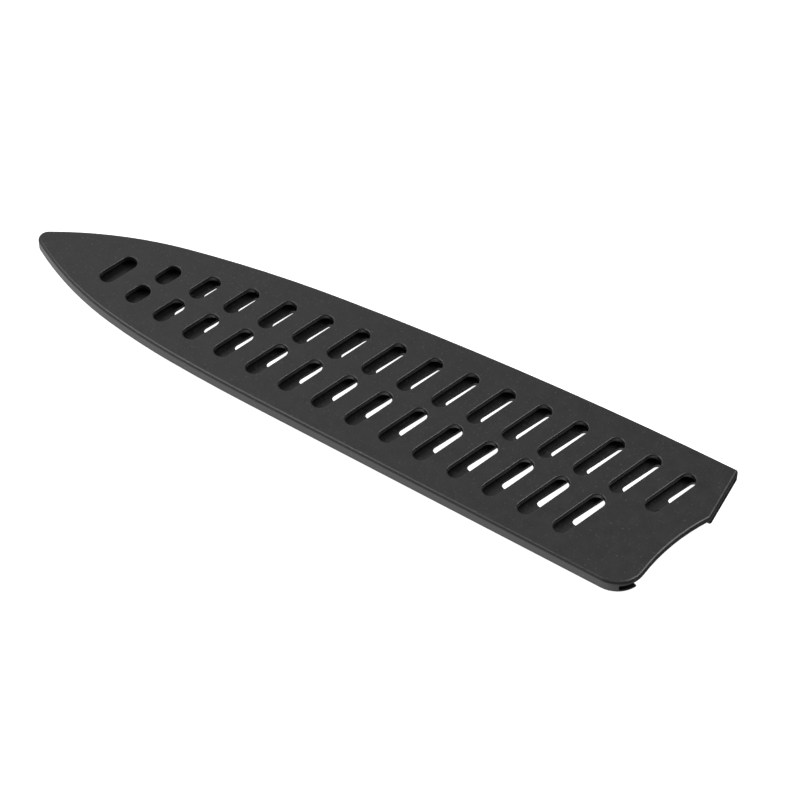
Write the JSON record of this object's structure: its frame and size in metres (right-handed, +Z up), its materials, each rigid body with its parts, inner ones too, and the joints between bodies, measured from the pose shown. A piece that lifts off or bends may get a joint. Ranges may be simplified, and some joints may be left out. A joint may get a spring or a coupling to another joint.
{
  "type": "knife blade guard",
  "caption": "Flat slide-in cover for a kitchen knife blade: two slotted plates joined round the rim, rounded tip, open mouth with a scooped end and a thumb cut-out in the lower plate.",
  "frame": {"origin": "middle of the bounding box in plan, on the resting face", "axes": "+X from the tip to the mouth where the blade goes in, +Y from the cutting edge to the spine, +Z up through the upper plate"},
  "size_m": [0.2266, 0.0554, 0.0047],
  "materials": {
    "upper_plastic": "fine grained matte",
    "lower_plastic": "fine grained matte"
  },
  "bodies": {
    "root": {"upper_shell": "upper_plastic", "lower_shell": "lower_plastic"}
  },
  "joints": []
}
